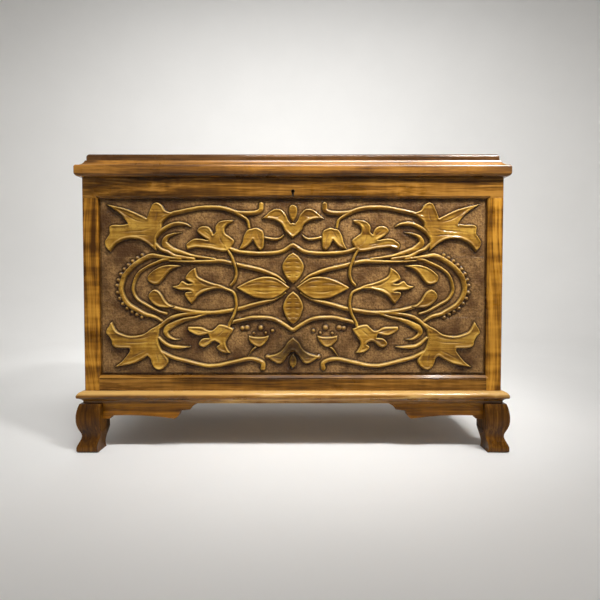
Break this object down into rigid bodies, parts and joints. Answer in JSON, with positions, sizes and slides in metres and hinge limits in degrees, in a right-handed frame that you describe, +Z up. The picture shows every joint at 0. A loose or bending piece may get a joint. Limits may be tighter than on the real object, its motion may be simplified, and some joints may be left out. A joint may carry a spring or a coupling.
{
  "type": "carved blanket chest",
  "caption": "Carved blanket chest with a panelled front, hinged moulded lid, chest lock, and a plinth on ogee bracket feet.",
  "frame": {"origin": "on the floor, under the middle of the whole chest", "axes": "+X to the right of someone facing the front, the front faces -Y, +Z up"},
  "size_m": [1.006, 0.4842, 0.695],
  "materials": {
    "carved_walnut": "carved, waxed, ground dark and punched",
    "figured_walnut": "french polished, cross figured",
    "rail_walnut": "french polished",
    "moulding_walnut": "french polished moulding",
    "foot_walnut": "dark polished",
    "end_walnut": "french polished",
    "lid_top_walnut": "french polished, gloss",
    "inner_deal": "unpolished, aged",
    "old_brass": "aged brass",
    "lock_brass": "aged brass",
    "lock_steel": "worn steel",
    "screw_steel": "darkened steel"
  },
  "bodies": {
    "carcass": {"front_top_rail": "rail_walnut", "front_bottom_rail": "rail_walnut", "front_left_stile": "figured_walnut", "front_right_stile": "figured_walnut", "keyhole_escutcheon": "old_brass", "left_end_lower_board": "end_walnut", "left_end_upper_board": "end_walnut", "right_end_lower_board": "end_walnut", "right_end_upper_board": "end_walnut", "bottom_bearer_front": "inner_deal", "bottom_bearer_back": "inner_deal", "bottom_bearer_left": "inner_deal", "bottom_bearer_right": "inner_deal", "plinth_front": "moulding_walnut", "plinth_left": "moulding_walnut", "plinth_right": "moulding_walnut", "plinth_back": "inner_deal", "foot_front_left": "foot_walnut", "foot_front_right": "foot_walnut", "foot_back_left": "foot_walnut", "foot_back_right": "foot_walnut", "foot_dowels": "inner_deal", "wing_front_left": "figured_walnut", "wing_front_right": "figured_walnut", "wing_left_front": "figured_walnut", "wing_left_back": "figured_walnut", "wing_right_front": "figured_walnut", "wing_right_back": "figured_walnut", "carved_panel_board_1": "carved_walnut", "carved_panel_board_2": "carved_walnut", "carved_panel_board_3": "carved_walnut", "back_board_1": "inner_deal", "back_board_2": "inner_deal", "back_board_3": "inner_deal", "bottom_board_1": "inner_deal", "bottom_board_2": "inner_deal", "bottom_board_3": "inner_deal", "left_hinge_carcass_leaf": "old_brass", "right_hinge_carcass_leaf": "old_brass", "hinge_pins": "old_brass", "hinge_carcass_screws": "screw_steel", "lock_case": "lock_brass", "lock_cover_plate": "lock_steel", "lock_bolt_spring": "screw_steel", "lock_screws": "screw_steel"},
    "lid": {"lid_front_rail": "moulding_walnut", "lid_left_rail": "moulding_walnut", "lid_right_rail": "moulding_walnut", "lid_back_rail": "moulding_walnut", "lid_top_front_board": "lid_top_walnut", "lid_top_back_board": "lid_top_walnut", "lid_left_batten": "inner_deal", "lid_right_batten": "inner_deal", "left_hinge_lid_leaf": "old_brass", "right_hinge_lid_leaf": "old_brass", "hinge_lid_screws": "screw_steel", "link_plate": "old_brass", "link_plate_screws": "screw_steel"},
    "bolt": {"lock_bolt": "lock_steel"}
  },
  "joints": [
    {"name": "lid_hinge", "type": "hinge", "parent": "carcass", "child": "lid", "pos_m": [0, 0.23765, 0.63875], "axis": [-1, 0, 0], "range_deg": [0, 100]},
    {"name": "lock_bolt_slide", "type": "slide", "parent": "carcass", "child": "bolt", "axis": [1, 0, 0], "range_m": [0, 0.008]}
  ]
}
